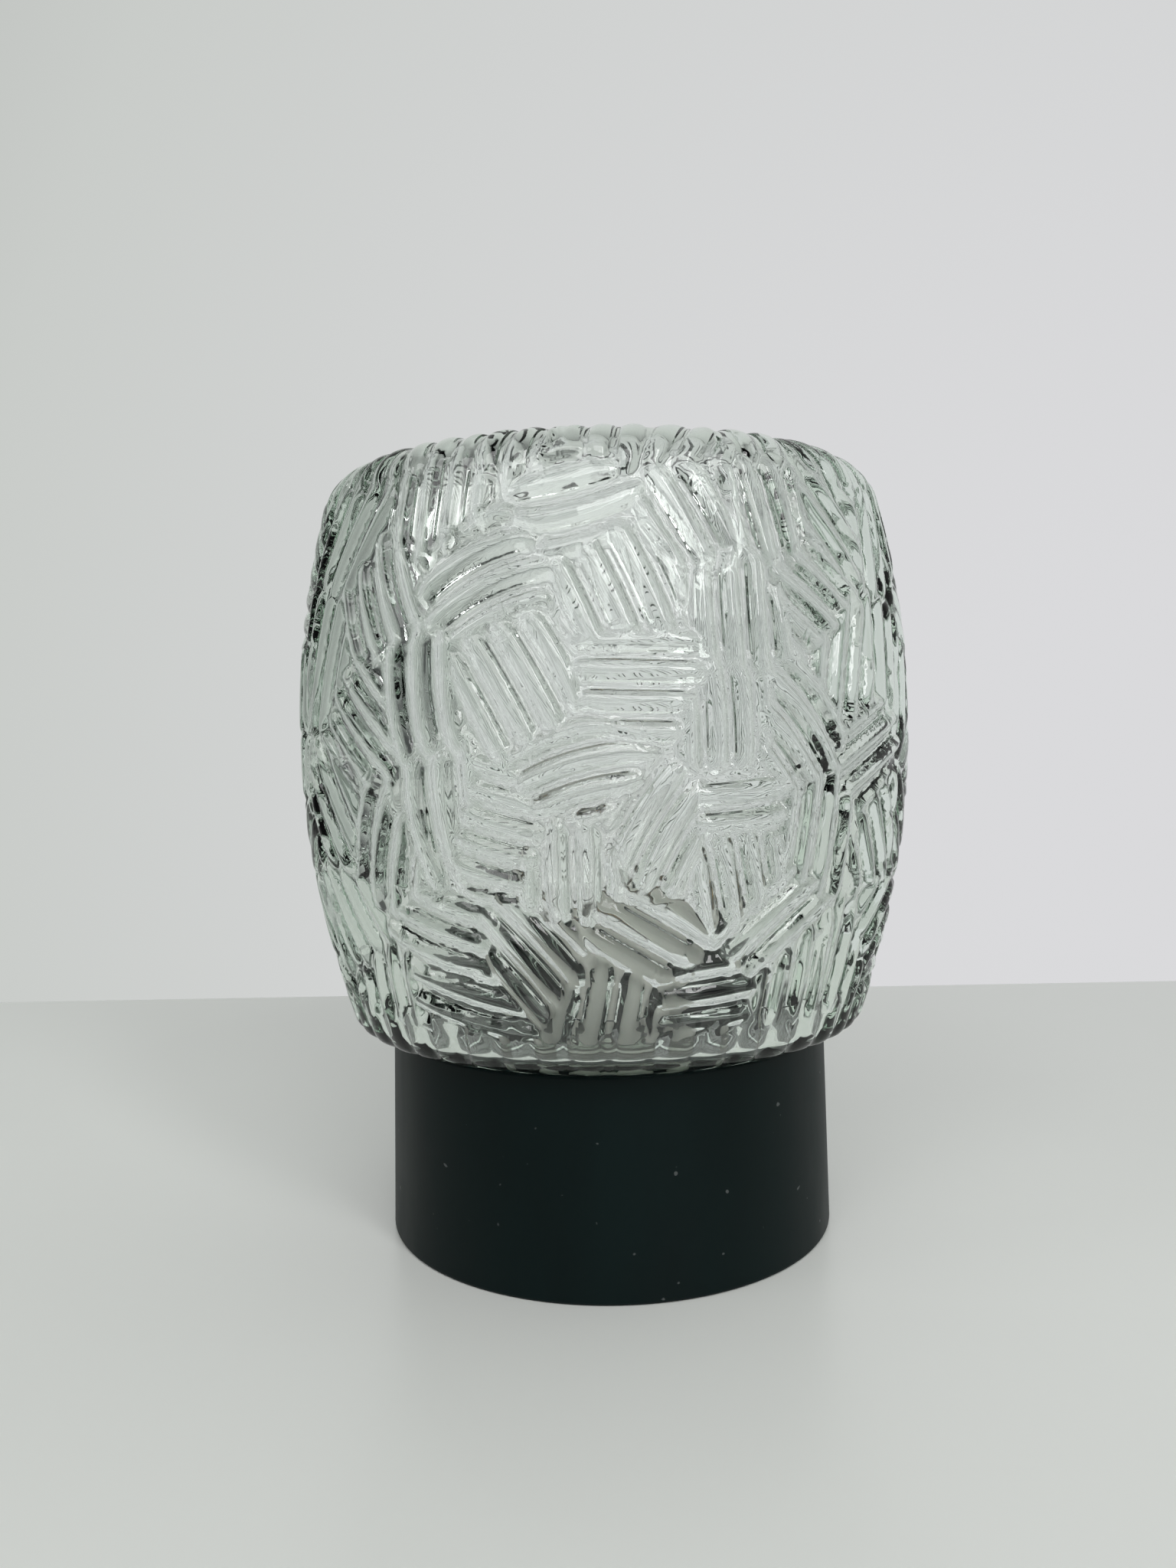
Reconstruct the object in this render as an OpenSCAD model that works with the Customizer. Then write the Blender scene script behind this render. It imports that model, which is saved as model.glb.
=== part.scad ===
// Wall light: a clear mould-blown glass shade screwed into a black moulded base.
// Millimetres. +Z points out of the wall along the lamp axis, and z = 0 is the wall face.

/* [Base] */
// Height of the base from the wall to its mouth
base_h = 49; // [46:0.5:58]
// Draft angle of the outside of the base
base_draft = 1.2; // [0:0.1:2.5]
// Wall of the base at its mouth
base_wall = 3.5; // [2.5:0.1:6]
// Depth of the recess behind the floor
floor_recess = 6; // [5:0.5:8]
// Thickness of the floor
floor_t = 3.5; // [2.5:0.1:5]
// Fillet between the floor and the wall, inside
floor_fillet = 3; // [1:0.5:5]
// Rounding of the outer edges of the base
edge_r = 0.8; // [0.3:0.1:1.5]

/* [Wall fixing] */
// Distance between the two wall slots
slot_spacing = 72; // [66:1:78]
// Width of a wall slot
slot_w = 5; // [4:0.1:6]
// Length of a wall slot
slot_len = 10; // [7:0.5:12]
// Hole in the floor for the cable bush
cable_hole_d = 12; // [10:0.5:14]
// Bore of the cable bush
bush_bore_d = 8; // [5:0.5:9]
// How far the bush's flanges reach over the floor
bush_flange_w = 2.5; // [1.5:0.1:3]
// Thickness of each flange of the bush
bush_flange_t = 2; // [1:0.1:2.5]
// Place of the cable entry, across
cable_x = -26; // [-30:1:-22]
// Place of the cable entry, front to back
cable_y = -26; // [-30:1:-22]

/* [Shade thread] */
// Diameter over the thread of the glass neck
thread_d = 99; // [95:0.5:104]
// Rise of the thread in one turn
thread_pitch = 7; // [5:0.5:8]
// Depth of the thread, crest to root
thread_depth = 2; // [1.5:0.1:2.5]
// Radial room between the two threads
thread_gap = 0.6; // [0.5:0.05:1]
// Length of the neck below the shade's foot
neck_len = 14; // [12:0.5:15]
// Glass left under the thread of the neck
neck_wall = 4; // [3:0.1:5]

/* [Shade] */
// Widest diameter of the shade
shade_d = 149; // [140:1:160]
// Height of the shade above its foot
shade_h = 133; // [120:1:150]
// Height of the belly above the foot
belly_h = 71.5; // [60:0.5:80]
// Radius of the barrel's side
barrel_r = 208; // [180:1:260]
// Radius of the top shoulder
shoulder_r = 11; // [8:0.5:16]
// Radius of the bottom edge
foot_r = 6; // [5.5:0.25:9]
// Thickness of the glass
glass_t = 4.5; // [3:0.1:5]
// Thickness of the rubber gasket
gasket_t = 1.5; // [1:0.1:2.5]
// Width of the rubber gasket
gasket_w = 3; // [2:0.1:3.2]

/* [Lampholder] */
// Height of the bracket's bridge above the floor
bridge_h = 9.5; // [9:0.5:14]
// Thickness of the bracket's strip
strip_t = 1.5; // [1:0.1:2]
// Width of the bracket's strip
strip_w = 14; // [10:0.5:15]
// Half the length of the bridge
bridge_half = 18; // [16.5:0.5:19]
// Length of each foot of the bracket
bracket_foot = 17; // [14:0.5:18]
// Outer diameter of the porcelain body
holder_d = 41; // [39:0.5:44]
// Height of the porcelain body
holder_h = 56; // [54:0.5:62]
// Depth of the socket
socket_depth = 34; // [33:0.5:36]
// Room round the screw shell in the socket
socket_room = 1; // [0.6:0.1:1.4]
// Radius of the well under the centre contact
well_r = 8; // [7.5:0.1:8.6]
// Depth of the well under the socket's floor
well_depth = 8; // [7:0.5:9]
// Spacing of the screws that hold the porcelain body
holder_screw_spacing = 24; // [22:1:26]

/* [Bulb thread] */
// Diameter over the thread of the bulb's cap
cap_d = 26.4; // [26:0.1:27]
// Rise of the bulb's thread in one turn
cap_pitch = 3.62; // [3.4:0.01:3.8]
// Depth of the bulb's thread
cap_depth = 1.1; // [0.9:0.05:1.2]
// Radial room between cap and screw shell
cap_gap = 0.4; // [0.35:0.05:0.5]
// Sheet of the screw shell
shell_t = 0.4; // [0.3:0.05:0.5]
// Height of the screw shell
shell_h = 31; // [29:0.5:32]
// Sheet of the bulb's cap
cap_t = 0.3; // [0.2:0.05:0.4]

/* [Bulb] */
// Diameter of the bulb
bulb_d = 45; // [40:1:60]
// Length of the bulb from its tip to its crown
bulb_len = 72; // [68:1:90]
// Height of the cap above the insulator
cap_h = 22; // [20:0.5:24]
// Wall of the bulb's glass
bulb_wall = 0.8; // [0.6:0.1:1.2]
// Height of the bulb's tip above the socket's floor
tip_h = 3; // [2.5:0.1:3.5]
// Height of the filament above the cap
filament_h = 16; // [12:0.5:20]
// Half the width of the filament
filament_half = 9; // [6:0.5:12]

/* [Terminals] */
// Width of a lampholder terminal
terminal_w = 7; // [6:0.5:8]
// Height of a lampholder terminal
terminal_h = 8; // [7:0.5:8.5]
// Place of the terminal's lead hole from the lamp axis
terminal_x = 14.2; // [13.5:0.1:14.6]
// Distance between the poles of the supply block
pole_pitch = 10; // [9:0.5:11]
// Length of the supply block
block_len = 15; // [14:0.5:16]
// Height of the supply block
block_h = 9; // [8.5:0.5:10]
// Direction of the supply block's outer corner from the lamp axis
block_angle = 42; // [40:0.5:44]
// Diameter of a lead over its insulation
lead_d = 2.4; // [1.8:0.1:2.6]
// How far a lead goes into a tube of the supply block
lead_grip = 6; // [5:0.5:7]
// How far a lead goes up into its lampholder terminal
lead_depth = 5; // [4:0.5:6]
// How far the live lead swings out of the block before it turns
live_swing = 9; // [7:0.5:11]
// How far the neutral lead swings out of the block before it turns
neutral_swing = 29; // [27:0.5:31]

/* [Screws] */
// Diameter of the bracket and lampholder screws
screw_d = 3.9; // [3:0.1:4]
// Diameter of the supply block's screw
block_screw_d = 2.9; // [2.5:0.1:3]
// Diameter of the clamp screws
clamp_d = 2.6; // [2:0.1:2.8]
// Room round a screw in the hole that it passes through
pass_gap = 0.25; // [0.15:0.05:0.4]
// Room round a piece in the seat that it fills
seat_gap = 0.05; // [0.03:0.01:0.1]
// Room between loose neighbours
part_gap = 0.4; // [0.3:0.05:0.5]
// Room between the supply block and the base's fillet
block_room = 1.5; // [1:0.1:2]

/* [Hidden] */
$fn = 96;
// Overlap of joined shapes within one piece
lap = 1;

// Base
floor_z = floor_recess + floor_t;
thread_set = 0.4;
bore_r = thread_d / 2 + thread_gap + thread_set;
mouth_r = bore_r + base_wall;
wall_r = mouth_r + base_h * tan(base_draft);
lead_in = 1;
thread_top = base_h - lead_in;
thread_bottom = base_h - neck_len - lead_in;
boss_wall = 2.5;
boss_r = screw_d / 2 + boss_wall;
boss_bottom = 1;
pilot_wall = 1;
pilot_bottom = boss_bottom + pilot_wall;
boss_h = floor_z - boss_bottom - lap;
tip_room = 0.5;

// Shade
foot_z = base_h + gasket_t;
crown_z = foot_z + shade_h;
belly_z = foot_z + belly_h;
side_x = shade_d / 2 - barrel_r;
neck_root_r = thread_d / 2 - thread_depth;
neck_in_r = neck_root_r - neck_wall;
gasket_in_r = thread_d / 2 + part_gap;

// Lampholder, counted up from the floor
bridge_z = floor_z + bridge_h;
holder_z = bridge_z;
holder_top = holder_z + holder_h;
socket_z = holder_top - socket_depth;
well_z = socket_z - well_depth;
shell_out_r = cap_d / 2 + cap_gap + shell_t;
socket_r = shell_out_r + socket_room;
flange_t = 0.4;
flange_over = 1;
flange_hole_r = well_r - flange_over;
strap_t = 0.8;
strap_w = 4.4;
strap_x = 11.2;
terminal_rise = 3;
terminal_reach = 3;
terminal_z = holder_z + terminal_rise;
terminal_top = terminal_z + terminal_h;
terminal_lap = 0.6;
terminal_in_x = strap_x - strap_t / 2 - terminal_lap;
terminal_out_x = terminal_x + terminal_reach;
pocket_top = terminal_top + part_gap;
clamp_rim = 0.9;
clamp_head_r = clamp_d / 2 + clamp_rim;
clamp_head_h = 1.6;
clamp_z = terminal_z + 0.31 * terminal_h;
foot_screw_y = bridge_half + bracket_foot * 0.6;
head_rim = 1.7;
head_r = screw_d / 2 + head_rim;
head_h = 2.4;
drive_w = 0.8;
contact_slot_h = 3.5;
holder_screw_y = holder_screw_spacing / 2;
holder_screw_len = 10;

// Centre contact, seen from the side: a bent strip with a round root
tip_z = socket_z + tip_h;
contact_t = 0.4;
contact_w = 4;
contact_gap = 0.2;
root_r = 0.6;
root_set = 0.7;
root_rise = 1.6;
root_x = -(well_r + root_set);
root_z = well_z + root_rise;
pad_z = tip_z - contact_gap - contact_t;
pad_half = 2;
pad_lap = 0.25;

// Bulb
tip_r = 4.6;
tip_t = 1.2;
insulator_z = tip_z + tip_t;
insulator_h = 4.3;
cap_z = insulator_z + insulator_h;
cap_top = cap_z + cap_h;
cap_root_r = cap_d / 2 - cap_depth;
cement_t = 0.2;
neck_out_r = cap_root_r - cap_t - cement_t;
cap_plain = 2;
cap_floor_r = tip_r + 2;
insulator_rim = 0.6;
crown_bulb_z = tip_z + bulb_len;
bulb_mid_z = crown_bulb_z - bulb_d / 2;
bulb_neck_rise = 6;
bulb_neck_z = cap_z + bulb_neck_rise;
neck_over = 1;
flare_end = cap_top + neck_over;
stem_top = flare_end;
stem_r = 3;
stem_flare_h = 6;
wire_r = 0.35;
wire_root_x = 1.5;
wire_root_depth = 2;
filament_z = cap_top + filament_h;
filament_r = 0.3;
filament_sag = 4;

// Supply block and leads
tube_r = 2.5;
tube_bore_r = lead_d / 2 + part_gap;
tube_z = floor_z + block_h * 0.6;
chimney_wall = 0.55;
chimney_r = clamp_head_r + pass_gap + chimney_wall;
chimney_h = 4;
clamp_y = block_len * 0.28;
clamp_lift = 0.5;
block_side = 2;
block_w = pole_pitch + 2 * (tube_r + block_side);
block_head_r = block_screw_d / 2 + clamp_rim;
block_head_h = 1.8;
block_corner_r = bore_r - floor_fillet - block_room;
block_x = block_corner_r * cos(block_angle) - block_w / 2;
block_y = block_len / 2 - block_corner_r * sin(block_angle);
lead_sides = 8;
lead_rings = 14;
lead_straight = 1;
lead_bend_y = block_y + block_len / 2 + lead_straight;
lead_top = terminal_z + lead_depth;
lead_rise = 1;
lead_turn_z = holder_z + lead_rise;
live_dip = 7;
neutral_dip = 12;

// Points on an arc, from one angle to another
function arc(cx, cz, r, from, to, steps) =
  [for (i = [0:steps]) let (a = from + (to - from) * i / steps) [cx + r * cos(a), cz + r * sin(a)]];

// Rises from 0 to 1 over a run-out at both ends of a thread
function fade(z, low, high, run) = max(0, min(1, (z - low) / run, (high - z) / run));

// 1 on the crest of a helix and 0 in its root
function helix(a, z, pitch) = 0.5 + 0.5 * cos(360 * z / pitch - a);

// Evenly spaced heights
function steps(low, high, count) = [for (i = [0:count]) low + (high - low) * i / count];

// Tube about Z whose outer and inner radius follow the angle and the height
module wavy_tube(out_z, in_z, sides, r_out, r_in) {
  no = len(out_z);
  ni = len(in_z);
  first = no * sides;
  function at(r, a, z) = [r * cos(a), r * sin(a), z];
  function o(i, j) = i * sides + j % sides;
  function n(i, j) = first + i * sides + j % sides;
  points = concat(
    [for (z = out_z) for (j = [0:sides - 1]) let (a = 360 * j / sides) at(r_out(a, z), a, z)],
    [for (z = in_z) for (j = [0:sides - 1]) let (a = 360 * j / sides) at(r_in(a, z), a, z)]
  );
  faces = concat(
    [for (i = [0:no - 2]) for (j = [0:sides - 1]) each [
      [o(i, j), o(i + 1, j), o(i + 1, j + 1)], [o(i, j), o(i + 1, j + 1), o(i, j + 1)]]],
    [for (i = [0:ni - 2]) for (j = [0:sides - 1]) each [
      [n(i, j), n(i + 1, j + 1), n(i + 1, j)], [n(i, j), n(i, j + 1), n(i + 1, j + 1)]]],
    [for (j = [0:sides - 1]) each [
      [o(0, j), o(0, j + 1), n(0, j + 1)], [o(0, j), n(0, j + 1), n(0, j)]]],
    [for (j = [0:sides - 1]) each [
      [o(no - 1, j), n(ni - 1, j + 1), o(no - 1, j + 1)],
      [o(no - 1, j), n(ni - 1, j), n(ni - 1, j + 1)]]]
  );
  polyhedron(points, faces, convexity = 8);
}

// Washer shape about Z
module ring(r_out, r_in, z, h) {
  rotate_extrude() translate([r_in, z]) square([r_out - r_in, h]);
}

// Screw about Z with its head's underside at z = 0 and its shank down to -len
module pan_screw(shank_d, len, head_radius, head_height) {
  difference() {
    union() {
      translate([0, 0, -len]) cylinder(d = shank_d, h = len + lap);
      cylinder(r = head_radius, h = head_height);
    }
    translate([-head_radius * 0.8, -drive_w / 2, head_height * 0.5])
      cube([head_radius * 1.6, drive_w, head_height]);
  }
}

// Copies at both ends of a line across or along the lamp axis
module both_x(x) {
  for (s = [-1, 1]) translate([s * x, 0, 0]) children();
}
module both_y(y) {
  for (s = [-1, 1]) translate([0, s * y, 0]) children();
}

// Middle of an edge's rounding at height z, inside the drafted wall
function edge_x(z) = wall_r - z * tan(base_draft) - edge_r / cos(base_draft);

module base_cup() {
  high = base_h - edge_r;
  rotate_extrude() polygon(concat(
    arc(edge_x(edge_r), edge_r, edge_r, -90, base_draft, 4),
    arc(edge_x(high), high, edge_r, base_draft, 90, 4),
    [[bore_r, base_h]],
    arc(bore_r - floor_fillet, floor_z + floor_fillet, floor_fillet, 0, -90, 6),
    [[0, floor_z], [0, floor_recess], [bore_r, floor_recess], [bore_r, 0]]
  ));
}

module base_thread() {
  ridge = function (a, z) thread_d / 2 + thread_gap
    - thread_depth * fade(z, thread_bottom, thread_top, thread_pitch / 4)
    * (1 - helix(a, z, thread_pitch));
  backing = function (a, z) bore_r + base_wall / 2;
  wavy_tube([thread_bottom, thread_top], steps(thread_bottom, thread_top, 16), 48, backing, ridge);
}

module wall_slot() {
  travel = (slot_len - slot_w) / 2;
  both_x(travel) cylinder(d = slot_w, h = floor_z + lap);
  translate([-travel, -slot_w / 2, 0]) cube([2 * travel, slot_w, floor_z + lap]);
}

module base_housing() {
  color([0.03, 0.03, 0.03]) difference() {
    union() {
      base_cup();
      base_thread();
      both_y(foot_screw_y) translate([0, 0, boss_bottom]) cylinder(r = boss_r, h = boss_h);
      translate([block_x, block_y, boss_bottom]) cylinder(r = boss_r, h = boss_h);
    }
    both_x(slot_spacing / 2) wall_slot();
    translate([cable_x, cable_y, 0]) cylinder(d = cable_hole_d, h = floor_z + lap);
    both_y(foot_screw_y) translate([0, 0, pilot_bottom])
      cylinder(d = screw_d + 2 * seat_gap, h = floor_z);
    translate([block_x, block_y, pilot_bottom])
      cylinder(d = block_screw_d + 2 * seat_gap, h = floor_z);
  }
}

module cable_grommet() {
  neck_r = cable_hole_d / 2 - seat_gap;
  flange_r = cable_hole_d / 2 + bush_flange_w;
  low = floor_recess - bush_flange_t;
  high = floor_z + bush_flange_t;
  chamfer = bush_flange_t / 4;
  color([0.1, 0.1, 0.1]) translate([cable_x, cable_y, 0]) rotate_extrude() polygon([
    [bush_bore_d / 2, low], [flange_r, low], [flange_r, floor_recess], [neck_r, floor_recess],
    [neck_r, floor_z], [flange_r, floor_z], [flange_r - chamfer, high], [bush_bore_d / 2, high]
  ]);
}

module lampholder_bracket() {
  inner = bridge_half - strip_t;
  outer = inner + bracket_foot;
  color([0.7, 0.7, 0.68]) difference() {
    translate([-strip_w / 2, 0, 0]) rotate([90, 0, 90]) linear_extrude(strip_w) union() {
      translate([-bridge_half, bridge_z - strip_t]) square([2 * bridge_half, strip_t]);
      for (s = [0, 1]) mirror([s, 0]) {
        translate([inner, floor_z]) square([strip_t, bridge_h]);
        translate([inner, floor_z]) square([outer - inner, strip_t]);
      }
    }
    both_y(holder_screw_y) translate([0, 0, bridge_z - strip_t - lap])
      cylinder(d = screw_d + 2 * pass_gap, h = strip_t + 2 * lap);
    both_y(foot_screw_y) translate([0, 0, floor_z - lap])
      cylinder(d = screw_d + 2 * pass_gap, h = strip_t + 2 * lap);
  }
}

module bracket_screws() {
  top = floor_z + strip_t;
  color("silver") both_y(foot_screw_y) translate([0, 0, top])
    pan_screw(screw_d, top - pilot_bottom - tip_room, head_r, head_h);
}

module holder_screws() {
  color("silver") both_y(holder_screw_y) translate([0, 0, bridge_z - strip_t])
    rotate([180, 0, 0]) pan_screw(screw_d, holder_screw_len, head_r, head_h);
}

module holder_pocket() {
  x = terminal_in_x - part_gap;
  w = terminal_w + 2 * part_gap;
  translate([x, -w / 2, holder_z - lap]) cube([holder_d, w, pocket_top - holder_z + lap]);
}

module holder_body() {
  edge = 1.5;
  slot_half = strap_w / 2 + part_gap;
  slot_x = strap_x - strap_t / 2 - part_gap;
  r = holder_d / 2;
  color([0.86, 0.83, 0.76]) difference() {
    rotate_extrude() polygon(concat(
      [[0, holder_z], [r - edge, holder_z], [r, holder_z + edge]],
      arc(r - edge, holder_top - edge, edge, 0, 90, 5),
      arc(socket_r + edge, holder_top - edge, edge, 90, 180, 5),
      [[socket_r, socket_z], [well_r, socket_z], [well_r, well_z], [0, well_z]]
    ));
    holder_pocket();
    mirror([1, 0, 0]) holder_pocket();
    translate([slot_x, -slot_half, pocket_top - lap])
      cube([strap_t + 2 * part_gap, 2 * slot_half, socket_z - pocket_top + 2 * lap]);
    translate([-slot_x - strap_t - 2 * part_gap, -slot_half, pocket_top - lap])
      cube([slot_x + strap_t + 2 * part_gap, 2 * slot_half, well_z - pocket_top + contact_slot_h + lap]);
    both_y(holder_screw_y) translate([0, 0, holder_z - lap])
      cylinder(d = screw_d + 2 * seat_gap, h = holder_screw_len + lap);
  }
}

module screw_shell() {
  low = socket_z + flange_t / 4;
  high = socket_z + shell_h;
  inside = function (a, z) cap_d / 2 + cap_gap
    - cap_depth * fade(z, low + tip_h, high, cap_pitch / 2) * (1 - helix(a, z, cap_pitch));
  outside = function (a, z) inside(a, z) + shell_t;
  rows = steps(low, high, 48);
  color([0.78, 0.62, 0.3]) union() {
    wavy_tube(rows, rows, 24, outside, inside);
    ring(shell_out_r + socket_room / 2, flange_hole_r, socket_z, flange_t);
  }
}

module shell_strip() {
  color([0.78, 0.62, 0.3]) translate([strap_x - strap_t / 2, -strap_w / 2, terminal_top])
    cube([strap_t, strap_w, socket_z - terminal_top]);
}

module contact_riser() {
  top = root_z + root_r;
  color([0.78, 0.62, 0.3]) translate([-strap_x - strap_t / 2, -strap_w / 2, terminal_top]) union() {
    cube([strap_t, strap_w, top - terminal_top]);
    translate([0, 0, root_z - root_r - strap_t - contact_gap - terminal_top])
      cube([strap_x + root_x + strap_t / 2 + root_r, strap_w, strap_t]);
  }
}

module holder_terminal() {
  difference() {
    translate([terminal_in_x, -terminal_w / 2, terminal_z])
      cube([terminal_out_x - terminal_in_x, terminal_w, terminal_h]);
    translate([terminal_x, 0, terminal_z - lap])
      cylinder(d = lead_d + 2 * pass_gap, h = lead_depth + tip_room + lap);
    translate([terminal_x, 0, clamp_z]) rotate([0, 90, 0])
      cylinder(d = clamp_d + 2 * seat_gap, h = terminal_out_x);
  }
}

module holder_terminals() {
  color([0.78, 0.62, 0.3]) union() {
    holder_terminal();
    mirror([1, 0, 0]) holder_terminal();
  }
}

module holder_terminal_screws() {
  reach = terminal_out_x - terminal_x - lead_d / 2 - contact_gap;
  color("silver") for (s = [0, 1]) mirror([s, 0, 0])
    translate([terminal_out_x, 0, clamp_z]) rotate([0, 90, 0])
      pan_screw(clamp_d, reach, clamp_head_r, clamp_head_h);
}

module centre_contact() {
  run = -pad_half - root_x;
  rise = pad_z - root_z;
  length = sqrt(run * run + rise * rise);
  color([0.8, 0.65, 0.35]) union() {
    translate([root_x, contact_w / 2, root_z]) rotate([90, 0, 0]) cylinder(r = root_r, h = contact_w);
    translate([root_x, -contact_w / 2, root_z]) rotate([0, -atan2(rise, run), 0])
      cube([length, contact_w, contact_t]);
    translate([-pad_half - pad_lap, -contact_w / 2, pad_z]) cube([2 * pad_half, contact_w, contact_t]);
  }
}

module terminal_block() {
  color([0.88, 0.86, 0.8]) translate([block_x, block_y, 0]) difference() {
    union() {
      translate([-block_w / 2, -block_len / 2, floor_z]) cube([block_w, block_len, block_h]);
      both_x(pole_pitch / 2) both_y(clamp_y) translate([0, 0, tube_z])
        cylinder(r = chimney_r, h = floor_z + block_h + chimney_h - tube_z);
    }
    both_x(pole_pitch / 2) translate([0, 0, tube_z]) rotate([90, 0, 0])
      cylinder(r = tube_r + seat_gap, h = block_len + 2 * lap, center = true);
    both_x(pole_pitch / 2) both_y(clamp_y) translate([0, 0, tube_z])
      cylinder(r = clamp_head_r + pass_gap, h = block_h + chimney_h);
    translate([0, 0, floor_z - lap]) cylinder(d = block_screw_d + 2 * pass_gap, h = block_h + 2 * lap);
  }
}

module block_tubes() {
  color([0.78, 0.62, 0.3]) translate([block_x, block_y, 0]) difference() {
    both_x(pole_pitch / 2) translate([0, 0, tube_z]) rotate([90, 0, 0])
      cylinder(r = tube_r, h = block_len - 2 * part_gap, center = true);
    both_x(pole_pitch / 2) translate([0, 0, tube_z]) rotate([90, 0, 0])
      cylinder(r = tube_bore_r, h = block_len + 2 * lap, center = true);
    both_x(pole_pitch / 2) both_y(clamp_y) translate([0, 0, tube_z])
      cylinder(d = clamp_d + 2 * seat_gap, h = block_h);
  }
}

module block_clamp_screws() {
  under_head = tube_z + tube_r + clamp_lift;
  reach = under_head - tube_z - lead_d / 2 - contact_gap;
  color("silver") translate([block_x, block_y, under_head]) both_x(pole_pitch / 2) both_y(clamp_y)
    pan_screw(clamp_d, reach, clamp_head_r, clamp_head_h);
}

module block_screw() {
  top = floor_z + block_h;
  color("silver") translate([block_x, block_y, top])
    pan_screw(block_screw_d, top - pilot_bottom - tip_room, block_head_r, block_head_h);
}

// Tube swept along a list of points, with a turning frame that suits all the leads
module swept_tube(path, r, sides) {
  n = len(path);
  up = [1, 1, -1];
  function unit(v) = v / norm(v);
  function along(i) = unit(path[min(i + 1, n - 1)] - path[max(i - 1, 0)]);
  points = [for (i = [0:n - 1]) let (t = along(i), u = unit(cross(t, up)), w = cross(t, u))
    for (j = [0:sides - 1]) let (a = 360 * j / sides) path[i] + r * (cos(a) * u + sin(a) * w)];
  faces = concat(
    [[for (j = [0:sides - 1]) j]],
    [for (i = [0:n - 2]) for (j = [0:sides - 1]) let (k = (j + 1) % sides) each [
      [i * sides + j, (i + 1) * sides + j, (i + 1) * sides + k],
      [i * sides + j, (i + 1) * sides + k, i * sides + k]]],
    [[for (j = [sides - 1:-1:0]) (n - 1) * sides + j]]
  );
  polyhedron(points, faces, convexity = 6);
}

// A lead starts along +Y in the block's tube and ends upright in the terminal
function lead_path(pole, terminal, swing, dip) = let (
  a = [block_x + pole * pole_pitch / 2, lead_bend_y, tube_z],
  b = a + [0, swing, 0],
  d = [terminal * terminal_x, 0, lead_turn_z],
  c = d - [0, 0, dip]
) concat(
  [a - [0, lead_grip + lead_straight, 0]],
  [for (i = [0:lead_rings]) let (t = i / lead_rings, s = 1 - t)
    s * s * s * a + 3 * s * s * t * b + 3 * s * t * t * c + t * t * t * d],
  [[d.x, d.y, lead_top]]
);

module live_lead() {
  color([0.35, 0.2, 0.12]) swept_tube(lead_path(-1, 1, live_swing, live_dip), lead_d / 2, lead_sides);
}

module neutral_lead() {
  color([0.25, 0.4, 0.6]) swept_tube(lead_path(1, -1, neutral_swing, neutral_dip), lead_d / 2, lead_sides);
}

module shade_gasket() {
  color([0.05, 0.05, 0.05]) ring(gasket_in_r + gasket_w, gasket_in_r, base_h, gasket_t);
}

// One wall of the shade, set in from the outside, from the crown's middle to the foot
function shade_wall(inset) = let (
  shoulder_z = crown_z - shoulder_r,
  shoulder_x = side_x + sqrt(pow(barrel_r - shoulder_r, 2) - pow(shoulder_z - belly_z, 2)),
  heel_z = foot_z + foot_r,
  heel_x = side_x + sqrt(pow(barrel_r - foot_r, 2) - pow(heel_z - belly_z, 2)),
  high = atan2(shoulder_z - belly_z, shoulder_x - side_x),
  low = atan2(heel_z - belly_z, heel_x - side_x)
) concat(
  [[0, crown_z - inset]],
  arc(shoulder_x, shoulder_z, shoulder_r - inset, 90, high, 8),
  arc(side_x, belly_z, barrel_r - inset, high, low, 14),
  arc(heel_x, heel_z, foot_r - inset, low, -90, 8)
);

module shade_neck() {
  low = foot_z - neck_len;
  high = foot_z + glass_t / 2;
  crest = function (a, z) neck_root_r + thread_depth * helix(a, z, thread_pitch)
    * fade(z, low, foot_z, thread_pitch / 4);
  inside = function (a, z) neck_in_r;
  rows = concat(steps(low, foot_z, 16), [high]);
  wavy_tube(rows, [low, high], 48, crest, inside);
}

module glass_shade() {
  mouth = neck_in_r + neck_wall / 4;
  inner = shade_wall(glass_t);
  color([0.8, 0.85, 0.83, 0.4]) union() {
    rotate_extrude() polygon(concat(
      shade_wall(0),
      [[mouth, foot_z], [mouth, foot_z + glass_t]],
      [for (i = [len(inner) - 1:-1:0]) inner[i]]
    ));
    shade_neck();
  }
}

module bulb_contact() {
  color([0.75, 0.75, 0.78]) rotate_extrude() polygon(concat(
    [[0, insulator_z], [tip_r, insulator_z]],
    [for (i = [0:5]) let (a = 90 * i / 5) [tip_r * cos(a), insulator_z - tip_t * sin(a)]]
  ));
}

module bulb_insulator() {
  color([0.02, 0.02, 0.05]) rotate_extrude() polygon([
    [0, insulator_z], [tip_r + insulator_rim, insulator_z],
    [neck_out_r - part_gap, cap_z], [0, cap_z]
  ]);
}

module bulb_cap() {
  low = cap_z + cap_t / 3;
  outside = function (a, z) cap_root_r + cap_depth * helix(a, z, cap_pitch)
    * fade(z, low, cap_top - cap_plain, cap_pitch / 2);
  inside = function (a, z) outside(a, z) - cap_t;
  rows = steps(low, cap_top, 36);
  color([0.8, 0.8, 0.78]) union() {
    wavy_tube(rows, rows, 24, outside, inside);
    ring(cap_root_r + cap_t / 3, cap_floor_r, cap_z, cap_t);
  }
}

// Side of the bulb, set in from the outside: neck, flare and ball
function bulb_side(inset) = let (
  r = bulb_d / 2 - inset,
  n = neck_out_r - inset,
  join = -40
) concat(
  [[n, bulb_neck_z], [n, flare_end]],
  [for (p = arc(0, bulb_mid_z, r, join, 90, 20)) [max(0, p.x), p.y]]
);

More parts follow.
